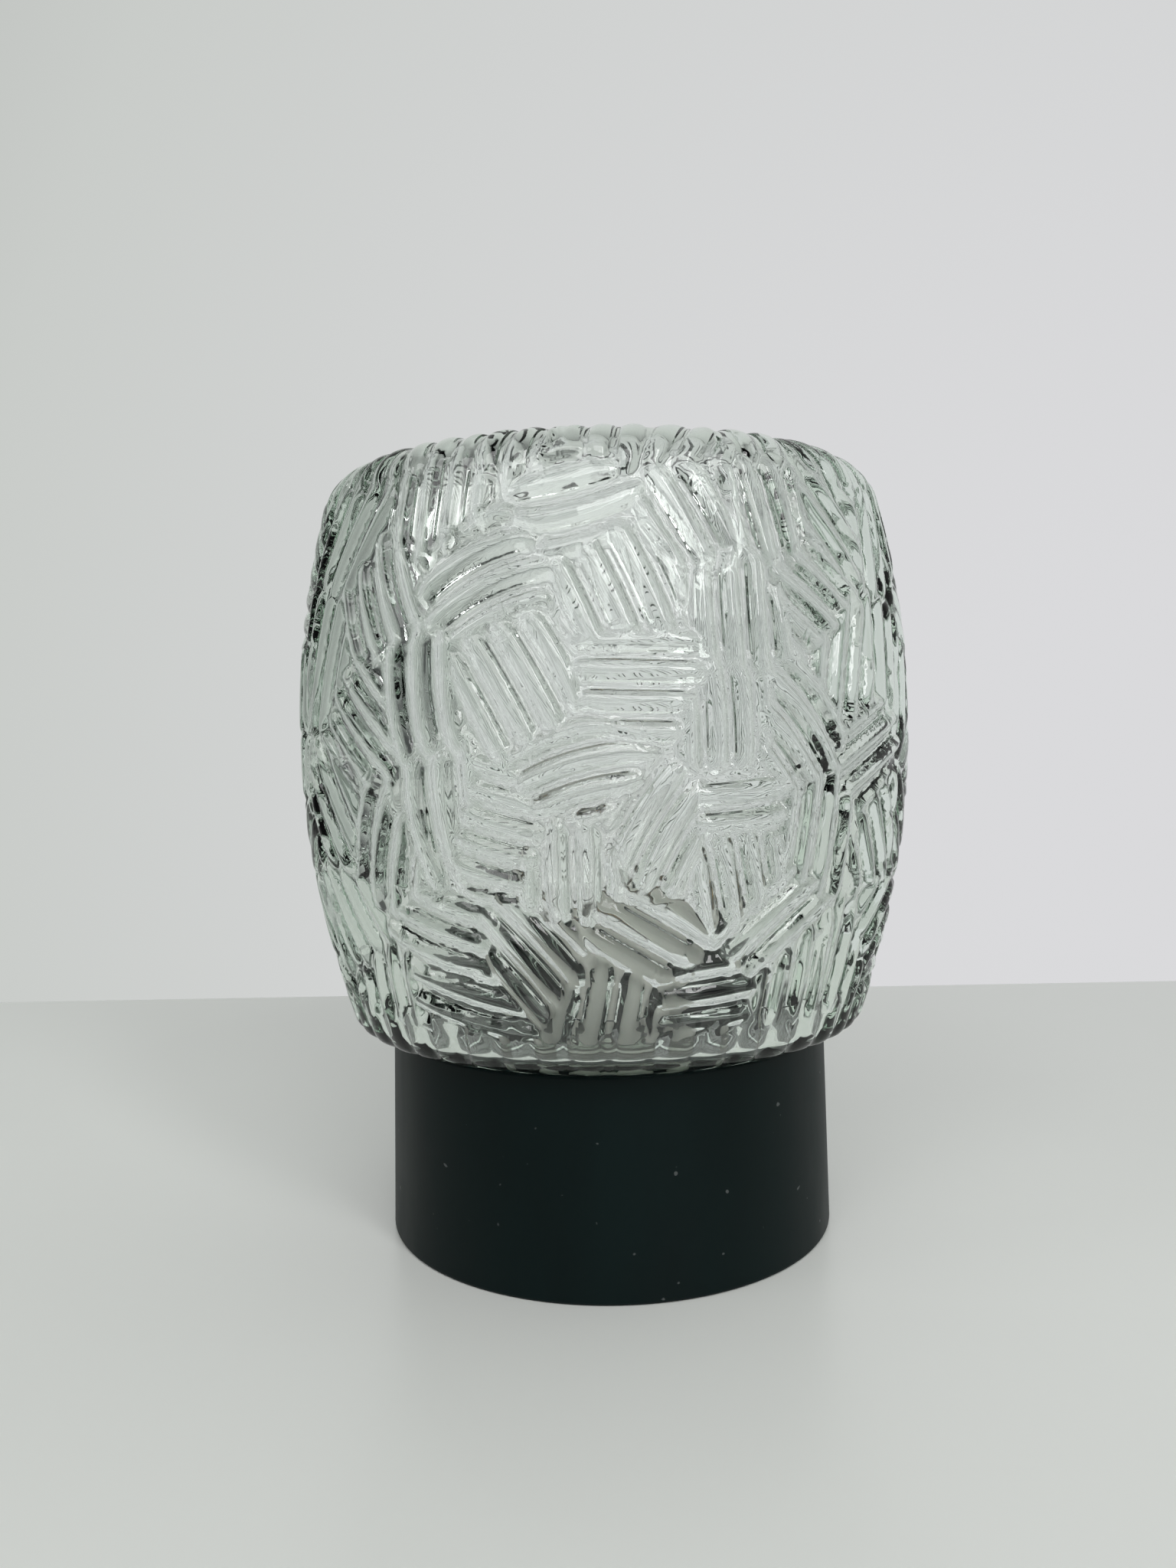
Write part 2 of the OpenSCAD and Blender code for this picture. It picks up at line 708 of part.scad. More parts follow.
module bulb_glass() {
  inner = bulb_side(bulb_wall);
  color([0.9, 0.92, 0.95, 0.4]) rotate_extrude()
    polygon(concat(bulb_side(0), [for (i = [len(inner) - 1:-1:0]) inner[i]]));
}

module bulb_stem() {
  flare_r = neck_out_r - bulb_wall - seat_gap;
  chamfer = stem_r / 5;
  color([0.85, 0.88, 0.9, 0.6]) rotate_extrude() polygon([
    [0, bulb_neck_z], [flare_r, bulb_neck_z], [flare_r, bulb_neck_z + stem_flare_h / 4],
    [stem_r * 1.5, bulb_neck_z + stem_flare_h / 2], [stem_r, bulb_neck_z + stem_flare_h],
    [stem_r, stem_top - chamfer], [stem_r - chamfer, stem_top], [0, stem_top]
  ]);
}

module lead_in_wires() {
  root = stem_top - wire_root_depth;
  dx = filament_half - wire_root_x;
  dz = filament_z - root;
  color("silver") for (s = [0, 1]) mirror([s, 0, 0]) translate([wire_root_x, 0, root])
    rotate([0, atan2(dx, dz), 0]) cylinder(r = wire_r, h = sqrt(dx * dx + dz * dz));
}

module filament() {
  r = (pow(filament_half, 2) + pow(filament_sag, 2)) / (2 * filament_sag);
  half_angle = asin(filament_half / r);
  color([0.3, 0.3, 0.3]) translate([0, 0, filament_z + filament_sag - r]) rotate([90, 0, 0])
    rotate([0, 0, 90 - half_angle]) rotate_extrude(angle = 2 * half_angle)
      translate([r, 0]) circle(r = filament_r);
}

base_housing();
cable_grommet();
lampholder_bracket();
bracket_screws();
holder_body();
holder_screws();
screw_shell();
shell_strip();
contact_riser();
holder_terminals();
holder_terminal_screws();
centre_contact();
terminal_block();
block_tubes();
block_clamp_screws();
block_screw();
live_lead();
neutral_lead();
shade_gasket();
glass_shade();
bulb_contact();
bulb_insulator();
bulb_cap();
bulb_glass();
bulb_stem();
lead_in_wires();
filament();
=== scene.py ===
import math
import random

import bpy
import numpy as np
from mathutils import Euler, Matrix, Vector


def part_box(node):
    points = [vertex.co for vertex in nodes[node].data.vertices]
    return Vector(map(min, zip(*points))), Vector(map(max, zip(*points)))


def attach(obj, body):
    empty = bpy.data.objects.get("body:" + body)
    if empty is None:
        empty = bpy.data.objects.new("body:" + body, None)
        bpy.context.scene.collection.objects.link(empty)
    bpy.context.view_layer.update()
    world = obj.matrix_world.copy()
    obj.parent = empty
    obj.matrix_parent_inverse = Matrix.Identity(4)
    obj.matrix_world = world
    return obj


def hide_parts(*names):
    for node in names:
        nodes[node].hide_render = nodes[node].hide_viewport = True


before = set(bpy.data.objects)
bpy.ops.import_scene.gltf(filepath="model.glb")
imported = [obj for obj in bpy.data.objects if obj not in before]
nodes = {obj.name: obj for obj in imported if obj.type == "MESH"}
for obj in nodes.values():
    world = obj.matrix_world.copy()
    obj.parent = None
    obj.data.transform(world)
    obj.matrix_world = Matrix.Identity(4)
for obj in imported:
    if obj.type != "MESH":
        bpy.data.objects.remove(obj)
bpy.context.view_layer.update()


# Base housing: one black phenolic moulding with a drafted wall, a floor set in from the wall
# face, and the thread for the glass inside its mouth. It is pressed hot in a steel mould, so it
# is satin all over, with faint flow marks, fine handling scuffs and a few pale nicks.
def new_material(name):
    """An empty finish with its shader, its tree and the coordinates of the piece."""
    material = bpy.data.materials.new(name)
    material.use_nodes = True
    tree = material.node_tree
    shader = tree.nodes["Principled BSDF"]
    place = tree.nodes.new("ShaderNodeTexCoord").outputs["Object"]
    return material, tree, shader, place


def stretched(tree, place, scale):
    """The place, scaled along the three axes, in pattern repeats for each metre."""
    mapping = tree.nodes.new("ShaderNodeMapping")
    mapping.inputs["Scale"].default_value = scale
    tree.links.new(place, mapping.inputs["Vector"])
    return mapping.outputs["Vector"]


def cloud(tree, place, scale, detail=4.0, rough=0.55):
    """Soft irregular patches, from 0 to 1."""
    noise = tree.nodes.new("ShaderNodeTexNoise")
    noise.inputs["Scale"].default_value = scale
    noise.inputs["Detail"].default_value = detail
    noise.inputs["Roughness"].default_value = rough
    tree.links.new(place, noise.inputs["Vector"])
    return noise.outputs["Fac"]


def ramp(tree, fac, low, high, start=0.3, end=0.7):
    """A colour or a grey that goes from low to high as fac goes from start to end."""
    node = tree.nodes.new("ShaderNodeValToRGB")
    node.color_ramp.elements[0].position = start
    node.color_ramp.elements[1].position = end
    for element, value in zip(node.color_ramp.elements, (low, high)):
        element.color = (value,) * 3 + (1,) if isinstance(value, float) else (*value, 1)
    tree.links.new(fac, node.inputs["Fac"])
    return node.outputs["Color"]


def mixed(tree, fac, a, b):
    """Colour a blended with colour b by fac."""
    node = tree.nodes.new("ShaderNodeMix")
    node.data_type = "RGBA"
    tree.links.new(fac, node.inputs["Factor"])
    for value, socket in ((a, node.inputs[6]), (b, node.inputs[7])):
        if isinstance(value, tuple):
            socket.default_value = (*value, 1)
        else:
            tree.links.new(value, socket)
    return node.outputs[2]


def coloured(tree, shader, fac, dark, light):
    """Gives the finish a colour that goes from dark to light as fac rises."""
    tree.links.new(ramp(tree, fac, dark, light), shader.inputs["Base Color"])


def roughened(tree, shader, fac, low, high, start=0.3, end=0.7):
    """Gives the finish a roughness that goes from low to high as fac goes from start to end."""
    tree.links.new(ramp(tree, fac, low, high, start, end), shader.inputs["Roughness"])


def relief_bump(tree, shader, height, strength, depth):
    """Fine unevenness of the surface, depth in metres."""
    bump = tree.nodes.new("ShaderNodeBump")
    bump.inputs["Strength"].default_value = strength
    bump.inputs["Distance"].default_value = depth
    tree.links.new(height, bump.inputs["Height"])
    tree.links.new(bump.outputs["Normal"], shader.inputs["Normal"])


def dress(name, material):
    """Puts a finish on a CAD node."""
    slots = nodes[name].material_slots
    if not slots:
        nodes[name].data.materials.append(material)
    for each in nodes[name].material_slots:
        each.material = material


def black_moulding():
    material, tree, shader, place = new_material("black_moulding")
    flow = cloud(tree, stretched(tree, place, (1, 1, 0.35)), 60)
    scuff = cloud(tree, place, 900, 2)
    speck = cloud(tree, place, 420, 1, 0.4)
    body = ramp(tree, flow, (0.0004, 0.005, 0.005), (0.001, 0.0075, 0.0075))
    nicks = ramp(tree, speck, 0.0, 0.5, 0.76, 0.79)
    tree.links.new(mixed(tree, nicks, body, (0.16, 0.17, 0.17)), shader.inputs["Base Color"])
    roughened(tree, shader, flow, 0.42, 0.52)
    shader.inputs["Specular IOR Level"].default_value = 0.14
    relief_bump(tree, shader, scuff, 0.12, 0.00006)
    return material


dress("base_housing", black_moulding())


# Glass shade: clear glass blown into an iron mould cut all over with bundles of round ribs, with
# a threaded neck below and a closed crown. The ribs are the mould's, and the inside stays smooth.
# It is fire-polished, faintly grey-green through its depth, and screws down on the gasket.
MM = 0.001


def turned(name, outline, steps):
    """A round sheet, made by turning an outline of (radius, height) about the lamp axis."""
    bpy.ops.object.select_all(action="DESELECT")
    bpy.ops.mesh.primitive_plane_add(size=MM)
    piece = bpy.context.object
    piece.name = name
    bpy.ops.object.mode_set(mode="EDIT")
    bpy.ops.mesh.select_all(action="SELECT")
    bpy.ops.mesh.merge(type="CENTER")
    bpy.ops.transform.translate(value=(outline[0][0], 0, outline[0][1]))
    for (r0, z0), (r1, z1) in zip(outline, outline[1:]):
        bpy.ops.mesh.extrude_vertices_move(TRANSFORM_OT_translate={"value": (r1 - r0, 0, z1 - z0)})
    bpy.ops.mesh.select_all(action="SELECT")
    bpy.ops.mesh.spin(steps=steps, angle=math.tau, center=(0, 0, 0), axis=(0, 0, 1))
    bpy.ops.mesh.select_all(action="SELECT")
    bpy.ops.mesh.remove_doubles(threshold=MM * 0.002)
    bpy.ops.mesh.normals_make_consistent(inside=False)
    bpy.ops.object.mode_set(mode="OBJECT")
    return piece


def arc(cx, cz, r, start, end, steps):
    """Points on an arc of an outline, from one angle to another."""
    turns = [start + (end - start) * i / steps for i in range(steps + 1)]
    return [(cx + r * math.cos(a), cz + r * math.sin(a)) for a in turns]


def spread(low, high, step):
    """Even values from low to high, about a step apart, without the last one."""
    count = max(1, round(abs(high - low) / step))
    return [low + (high - low) * i / count for i in range(count)]


shade_low, shade_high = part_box("glass_shade")
_, gasket_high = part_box("shade_gasket")
shade_r = shade_high.x
crown_z = shade_high.z
foot_z = gasket_high.z
belly_z = foot_z + 71.5 * MM
barrel_r = 208 * MM
shoulder_r = 11 * MM
foot_r = 6 * MM
glass_t = 3.2 * MM
crown_t = 2.2 * MM
neck_root_r = 47.5 * MM
neck_in_r = 43.5 * MM
neck_gap = 0.6 * MM
lip_r = 1 * MM
throat_r = 2 * MM
seat_lift = 0.03 * MM
crown_band = 14 * MM
thread_depth = 2 * MM
thread_pitch = 7 * MM
side_x = shade_r - barrel_r


def shade_arcs(inset, top_inset):
    """Middles, radii and angles of the heel, the side and the shoulder of one face of the glass."""
    side_r, top_r, low_r = barrel_r - inset, shoulder_r - top_inset, foot_r - inset
    shoulder_z = crown_z - shoulder_r
    shoulder_x = side_x + math.sqrt((side_r - top_r) ** 2 - (shoulder_z - belly_z) ** 2)
    heel_z = foot_z + foot_r
    heel_x = side_x + math.sqrt((side_r - low_r) ** 2 - (heel_z - belly_z) ** 2)
    high = math.atan2(shoulder_z - belly_z, shoulder_x - side_x)
    low = math.atan2(heel_z - belly_z, heel_x - side_x)
    heel = (heel_x, heel_z, low_r, -math.pi / 2, low)
    side = (side_x, belly_z, side_r, low, high)
    shoulder = (shoulder_x, shoulder_z, top_r, high, math.pi / 2)
    return heel, side, shoulder


outside_arcs = shade_arcs(0, 0)
inside_arcs = shade_arcs(glass_t, crown_t)


def shade_outside(step):
    """Outline of the outside, from the neck's root under the foot to the crown's middle."""
    heel, side, shoulder = outside_arcs
    seat_z = foot_z + seat_lift
    outline = [(r, seat_z) for r in spread(neck_root_r + neck_gap, heel[0], 3 * MM)]
    for cx, cz, r, start, end in (heel, side, shoulder):
        outline += arc(cx, cz, r, start, end, max(4, round(r * (end - start) / step)))[:-1]
    crown_r = shoulder[0] - crown_band
    outline += [(r, crown_z) for r in spread(shoulder[0], crown_r, 1.2 * MM)]
    outline += [(r, crown_z) for r in spread(crown_r, 0, 6 * MM)]
    return outline + [(0, crown_z)]


def shade_inside():
    """Outline of the neck and the inside, from the neck's root to the middle of the crown."""
    heel, side, shoulder = inside_arcs
    lip_z = shade_low.z + lip_r
    floor_z = foot_z + glass_t
    throat_z = floor_z - throat_r
    outline = [(neck_root_r, z) for z in spread(foot_z - neck_gap, lip_z, 0.7 * MM)]
    outline += arc(neck_root_r - lip_r, lip_z, lip_r, 0, -math.pi / 2, 3)
    outline += arc(neck_in_r + lip_r, lip_z, lip_r, -math.pi / 2, -math.pi, 3)
    outline += [(neck_in_r, z) for z in spread(lip_z + lip_r, throat_z, 4 * MM)]
    outline += arc(neck_in_r + throat_r, throat_z, throat_r, math.pi, math.pi / 2, 4)
    outline += [(r, floor_z) for r in spread(neck_in_r + 2 * throat_r, heel[0], 4 * MM)]
    for cx, cz, r, start, end in (heel, side, shoulder):
        outline += arc(cx, cz, r, start, end, max(3, round(r * (end - start) / (4 * MM))))[:-1]
    outline += [(r, crown_z - crown_t) for r in spread(shoulder[0], 0, 5 * MM)]
    return outline + [(0, crown_z - crown_t)]


# Bundles of ribs on the front: degrees to the right of the front, height in mm, lean of the ribs
# in degrees from level, bend of the ribs for each mm of their run, and spacing of the ribs in mm
FRONT_BUNDLES = [
    (-52, 165, 60, 0.000, 6.2), (-28, 169, 88, 0.000, 6.4), (-4, 168, 14, -0.016, 7.0),
    (15, 165, -62, 0.004, 6.8), (29, 164, -80, 0.000, 6.4), (44, 164, -48, 0.000, 6.2),
    (58, 160, 80, 0.000, 6.2), (-56, 140, 74, 0.000, 6.2), (-40, 148, -66, -0.012, 6.6),
    (-21, 153, 24, 0.022, 6.8), (3, 150, -66, 0.005, 7.0), (22, 145, 90, 0.006, 5.9),
    (36, 149, -35, 0.000, 5.9), (43, 135, 76, 0.012, 5.9), (57, 139, 84, 0.010, 6.2),
    (-43, 125, -42, 0.000, 5.7), (-33, 130, 96, 0.012, 6.8), (-14, 131, -60, 0.006, 6.2),
    (6, 130, -2, 0.000, 5.9), (19, 123, 92, -0.006, 5.9), (31, 121, -48, 0.014, 6.2),
    (50, 116, 22, 0.006, 6.2), (-54, 103, -56, 0.000, 6.2), (-39, 97, 72, 0.014, 6.4),
    (-29, 104, -82, -0.014, 7.0), (-18, 101, -15, -0.006, 5.3), (-4, 113, 14, 0.020, 5.9),
    (7, 103, 58, 0.018, 6.2), (-6, 94, 90, 0.000, 6.4), (20, 106, 4, -0.008, 5.9),
    (21, 94, -76, 0.000, 5.7), (36, 101, 84, 0.000, 5.9), (58, 98, -60, 0.000, 6.2),
    (-52, 81, -60, 0.000, 6.2), (-31, 79, -18, -0.008, 5.9), (-12, 77, -50, 0.008, 5.9),
    (4, 79, -32, 0.000, 6.4), (29, 81, 38, 0.014, 6.4), (60, 79, 40, 0.000, 6.2),
    (-29, 66, -14, -0.006, 5.9), (-46, 66, 84, 0.000, 5.7), (0, 66, 80, 0.000, 6.6),
    (16, 65, 4, 0.000, 5.9), (34, 67, 88, 0.000, 5.7), (50, 67, 86, 0.000, 5.7),
]
# Depth of the relief, and how much of it lies inside the plain barrel. A bundle reaches further along
# its ribs than across them, and a rib is narrower than its spacing, so that a floor is left between.
RIB_DEPTH = 1.8 * MM
RIB_MEAN = 0.75
REACH_ALONG = 0.94
REACH_ACROSS = 1.06
RIB_NARROW = 1.32
RIB_ROUND = 0.6
# Nearer to the axis than this the bundles get no narrower
LEAST_R = 20 * MM


def all_bundles():
    """The front's bundles, then others in staggered rows round the rest, by a seeded draw."""
    rng = random.Random(7)
    bundles = list(FRONT_BUNDLES)
    back_start, back_end, stagger, stride = 70, 298, 8, 16.5
    for row, z in enumerate((166, 149, 132, 115, 98, 81, 66)):
        lean = rng.uniform(-90, 90)
        for a in spread(back_start + stagger * (row % 2), back_end, stride):
            lean += rng.choice((-1, 1)) * rng.uniform(38, 80)
            bend = rng.choice((0, 0, 0.008, -0.008, 0.015))
            pitch = rng.uniform(5.6, 6.8)
            bundles.append((a + rng.uniform(-3, 3), z + rng.uniform(-4, 4), lean, bend, pitch))
    # on the shoulder and the crown's edge the ribs run up and over
    for row, z in enumerate((185, 201)):
        for a in spread(stagger * row, stagger * row + 360, stride):
            lean = rng.uniform(60, 120)
            pitch = rng.uniform(5.6, 6.8)
            bundles.append((a + rng.uniform(-3, 3), z + rng.uniform(-3, 3), lean, 0, pitch))
    return bundles


def round_ribs(phase, pitch, margin):
    """Height from 0 to 1 of ribs side by side that end round where the margin in mm runs out."""
    offset = (np.mod(phase, 1) * 2 - 1) * RIB_NARROW
    end = np.clip(1 - margin / (pitch * 0.5), 0, 1)
    return np.clip(1 - offset ** 2 - end ** 2, 0, 1) ** RIB_ROUND


def rib_height(around, height, radius):
    """Height of the ribs at each point from 0 to 1, their count across, and mm to the border."""
    first = np.full((4, around.size), 1e9)
    second = first.copy()
    for number, (turn, z, lean, bend, spacing) in enumerate(all_bundles()):
        turn, lean = math.radians(turn), math.radians(lean)
        across = (np.mod(around - turn + math.pi, math.tau) - math.pi) * radius / MM
        up = height / MM - z
        run = across * math.cos(lean) + up * math.sin(lean)
        side = -across * math.sin(lean) + up * math.cos(lean)
        phase = (side + bend * run * run / 2) / spacing
        same = np.ones(around.size)
        away = np.hypot(run * REACH_ALONG, side * REACH_ACROSS)
        here = np.stack([away, phase, same * spacing, same * number])
        nearer = here[0] < first[0]
        between = here[0] < second[0]
        second = np.where(nearer, first, np.where(between, here, second))
        first = np.where(nearer, here, first)
    border = (second[0] - first[0]) / 2
    heights = []
    for (_, phase, pitch, number), margin in ((first, border), (second, -border)):
        # each rib has its own fixed chance from 0 to 1, by which it runs on and stands up a little more
        chance = np.mod(np.sin(number * 12.9898 + np.floor(phase) * 78.233) * 43758.5453, 1)
        heights.append(round_ribs(phase, pitch, margin + 0.3 + 1.7 * chance) * (0.86 + 0.14 * chance))
    return np.maximum(*heights), first[1], border


foot_rib_count = 48
foot_rib_pitch = 6.7
foot_rib_top = foot_z + 13 * MM


def foot_ribs(around, height):
    """Upright ribs in a ring round the foot, a little uneven, that end round at the top."""
    drift = 0.5 * np.sin(5 * around + 1) + 0.35 * np.sin(11 * around + 2)
    phase = (around * foot_rib_count + drift) / math.tau
    return round_ribs(phase, foot_rib_pitch, (foot_rib_top - height) / MM)


def keep_values(mesh, name, values):
    """Stores one value for each vertex, for the finish to use."""
    layer = mesh.attributes.new(name, "FLOAT", "POINT")
    layer.data.foreach_set("value", values.astype(np.float32))


def places(mesh):
    """Places of the vertices, with their distance from the axis and their turn from the front."""
    co = np.empty(len(mesh.vertices) * 3, np.float32)
    mesh.vertices.foreach_get("co", co)
    co = co.reshape(-1, 3).astype(float)
    return co, np.hypot(co[:, 0], co[:, 1]), np.arctan2(co[:, 0], -co[:, 1])


def crowd_front(sheet):
    """Turns the columns of a round sheet closer together in front, where each rib has its place."""
    crowding = 0.2
    co, radius, around = places(sheet.data)
    around -= crowding * np.sin(around)
    co[:, 0] = radius * np.sin(around)
    co[:, 1] = -radius * np.cos(around)
    sheet.data.vertices.foreach_set("co", co.astype(np.float32).ravel())
    sheet.data.update()


def follow_ribs(sheet):
    """Keeps on the inside where the ribs outside run, since the blown wall follows them softly."""
    co, radius, around = places(sheet.data)
    phase, border = rib_height(around, co[:, 2], np.maximum(radius, LEAST_R))[1:]
    wall = (co[:, 2] > foot_z + 12 * MM) & (radius > neck_in_r)
    keep_values(sheet.data, "rib_phase", phase)
    keep_values(sheet.data, "rib_inside", np.where(wall, border, 0))


def relief(co):
    """Height of the relief from 0 to 1 at places on the outside, with the ribs' count and border."""
    radius = np.hypot(co[:, 0], co[:, 1])
    around = np.arctan2(co[:, 0], -co[:, 1])
    z = co[:, 2]
    shoulder = outside_arcs[2]
    # the height is unrolled over the shoulder, on to the crown
    bow = np.arctan2(z - shoulder[1], radius - shoulder[0]) * shoulder_r
    bow = np.where(z > crown_z - 0.01 * MM, math.pi / 2 * shoulder_r + shoulder[0] - radius, bow)
    unrolled = np.where(z > shoulder[1], shoulder[1] + bow, z)
    ribs, phase, border = rib_height(around, unrolled, np.maximum(radius, LEAST_R))
    # past the shoulder the relief gets shallower, and it ends on the crown
    past = (unrolled - shoulder[1]) / MM
    ribs = RIB_MEAN + (ribs - RIB_MEAN) * np.interp(past, (-6, 12, 24, 36), (1, 0.42, 0.35, 0))
    # round the foot broad panels take the place of the bundles
    panels = foot_ribs(around, z)
    ribs = np.where(z < foot_z + 9 * MM, 0.45 + 0.55 * panels, np.maximum(ribs, panels))
    # the seat on the gasket stays plain
    seat_edge = foot_z + 0.05 * MM
    ribs = RIB_MEAN + (ribs - RIB_MEAN) * np.clip((z - seat_edge) / (2 * MM), 0, 1)
    return ribs, phase, border


def fold_quads(sheet, ribs, co):
    """Splits each square of the mesh along the way that lies closer to the relief in its middle."""
    mesh = sheet.data
    sides = np.empty(len(mesh.polygons), np.int32)
    mesh.polygons.foreach_get("loop_total", sides)
    corners = np.empty(len(mesh.loops), np.int32)
    mesh.loops.foreach_get("vertex_index", corners)
    squares = np.flatnonzero(sides == 4)
    corners = corners[(np.cumsum(sides) - sides)[squares][:, None] + np.arange(4)]
    middle = relief(co[corners].mean(axis=1))[0]
    one_way = np.abs(ribs[corners[:, [0, 2]]].mean(axis=1) - middle)
    other_way = np.abs(ribs[corners[:, [1, 3]]].mean(axis=1) - middle)
    other = np.zeros(len(sides), bool)
    other[squares] = other_way < one_way
    bpy.ops.object.mode_set(mode="EDIT")
    bpy.ops.mesh.select_mode(type="FACE")
    bpy.ops.mesh.select_all(action="DESELECT")
    bpy.ops.object.mode_set(mode="OBJECT")
    mesh.polygons.foreach_set("select", other)
    bpy.ops.object.mode_set(mode="EDIT")
    bpy.ops.mesh.quads_convert_to_tris(quad_method="FIXED_ALTERNATE")
    bpy.ops.mesh.select_all(action="SELECT")
    bpy.ops.mesh.quads_convert_to_tris(quad_method="FIXED")
    bpy.ops.mesh.select_mode(type="VERT")
    bpy.ops.object.mode_set(mode="OBJECT")


def press_ribs(sheet):
    """Moves the plain outside of the shade out to the ribs and in between them."""
    mesh = sheet.data
    co, radius, _ = places(mesh)
    smooth = co.copy()
    z = smooth[:, 2]
    heel, _, shoulder = outside_arcs
    ribs, phase, border = relief(smooth)
    keep_values(mesh, "rib_phase", phase)
    keep_values(mesh, "rib_border", np.where(z < foot_rib_top, 0, border))
    below = z < heel[1] + heel[2] * math.sin(heel[4])
    above = z > shoulder[1] + shoulder[2] * math.sin(shoulder[3])
    past_shoulder = np.maximum(0, radius - shoulder[0])
    nx = np.where(below, radius - heel[0], np.where(above, past_shoulder, radius - side_x))
    nz = np.where(below, z - heel[1], z - np.where(above, shoulder[1], belly_z))
    drop = RIB_DEPTH * (RIB_MEAN - ribs) / np.maximum(np.hypot(nx, nz), 1e-9)
    scale = 1 - drop * nx / np.maximum(radius, 1e-9)
    co[:, 0] *= scale
    co[:, 1] *= scale
    co[:, 2] -= drop * nz
    mesh.vertices.foreach_set("co", co.astype(np.float32).ravel())
    mesh.update()
    bpy.ops.object.select_all(action="DESELECT")
    sheet.select_set(True)
    bpy.context.view_layer.objects.active = sheet
    bpy.ops.object.mode_set(mode="EDIT")
    bpy.ops.mesh.select_mode(type="VERT")
    bpy.ops.mesh.select_all(action="DESELECT")
    bpy.ops.mesh.select_non_manifold()
    bpy.ops.mesh.select_all(action="INVERT")
    bpy.ops.mesh.vertices_smooth(factor=0.15, repeat=1)
    bpy.ops.object.mode_set(mode="OBJECT")
    fold_quads(sheet, ribs, smooth)


def cut_thread(sheet):
    """Raises the round thread on the outside of the neck."""
    low, high = shade_low.z, foot_z
    run_out = thread_pitch / 4
    for v in sheet.data.vertices:
        r = math.hypot(v.co.x, v.co.y)
        # only the outside of the neck, below the foot
        if v.co.z > high - 0.1 * MM or abs(r - neck_root_r) > 0.2 * MM:
            continue
        fade = max(0, min(1, (v.co.z - low) / run_out, (high - v.co.z) / run_out))
        wave = 0.5 + 0.5 * math.cos(math.tau * v.co.z / thread_pitch - math.atan2(v.co.y, v.co.x))
        grow = 1 + thread_depth * fade * wave / r
        v.co.x *= grow
        v.co.y *= grow


def stored(tree, name):
    """A value that was kept for each vertex."""
    node = tree.nodes.new("ShaderNodeAttribute")
    node.attribute_name = name
    return node.outputs["Fac"]


def calc(tree, operation, a, b):
    """One sum, of a socket with a socket or a number."""
    node = tree.nodes.new("ShaderNodeMath")
    node.operation = operation
    for value, socket in ((a, node.inputs[0]), (b, node.inputs[1])):
        if isinstance(value, (int, float)):
            socket.default_value = value
        else:
            tree.links.new(value, socket)
    return node.outputs["Value"]


def added(tree, a, b, share):
    """a and a share of b."""
    return calc(tree, "ADD", a, calc(tree, "MULTIPLY", b, share))


def smooth_step(tree, value, low, high, start=0.0, end=1.0):
    """Goes softly from start to end as value goes from low to high."""
    node = tree.nodes.new("ShaderNodeMapRange")
    node.interpolation_type = "SMOOTHSTEP"
    for key, number in (("From Min", low), ("From Max", high), ("To Min", start), ("To Max", end)):
        node.inputs[key].default_value = number
    tree.links.new(value, node.inputs["Value"])
    return node.outputs["Result"]


def rib_roots(tree):
    """0 on the floor between two ribs of a bundle, with a sharp rise to 1 at the roots of both."""
    part = calc(tree, "FRACT", stored(tree, "rib_phase"), 0)
    away = calc(tree, "SUBTRACT", 0.5, calc(tree, "ABSOLUTE", calc(tree, "SUBTRACT", part, 0.5), 0))
    floor_line = smooth_step(tree, away, 0.105, 0.185, 1.0, 0.0)
    inside = smooth_step(tree, stored(tree, "rib_border"), 1.6, 3.2)
    return calc(tree, "SUBTRACT", 1, calc(tree, "MULTIPLY", floor_line, inside))


def soft_wave(tree):
    """Hollows under the ribs on the inside of the glass, from 0 to 1."""
    turn = calc(tree, "MULTIPLY", stored(tree, "rib_phase"), math.tau)
    inside = smooth_step(tree, stored(tree, "rib_inside"), 0.5, 4.0)
    return calc(tree, "MULTIPLY", calc(tree, "COSINE", turn, 0), inside)


def shade_glass():
    material, tree, shader, place = new_material("shade_glass")
    shader.inputs["Transmission Weight"].default_value = 1
    shader.inputs["IOR"].default_value = 1.5
    film = cloud(tree, place, 45, 3)
    ripple = cloud(tree, place, 60, 1)
    coloured(tree, shader, film, (0.984, 0.995, 0.986), (0.996, 1.0, 0.997))
    roughened(tree, shader, film, 0.0, 0.012, 0.6, 0.9)
    ripple_share, root_share, wave_share = 0.12, 1.5, 0.3
    fine = added(tree, calc(tree, "MULTIPLY", ripple, ripple_share), rib_roots(tree), root_share)
    relief_bump(tree, shader, added(tree, fine, soft_wave(tree), wave_share), 1, 0.0003)
    depth = tree.nodes.new("ShaderNodeVolumeAbsorption")
    depth.inputs["Color"].default_value = (0.68, 0.87, 0.72, 1)
    depth.inputs["Density"].default_value = 38
    tree.links.new(depth.outputs["Volume"], tree.nodes["Material Output"].inputs["Volume"])
    return material


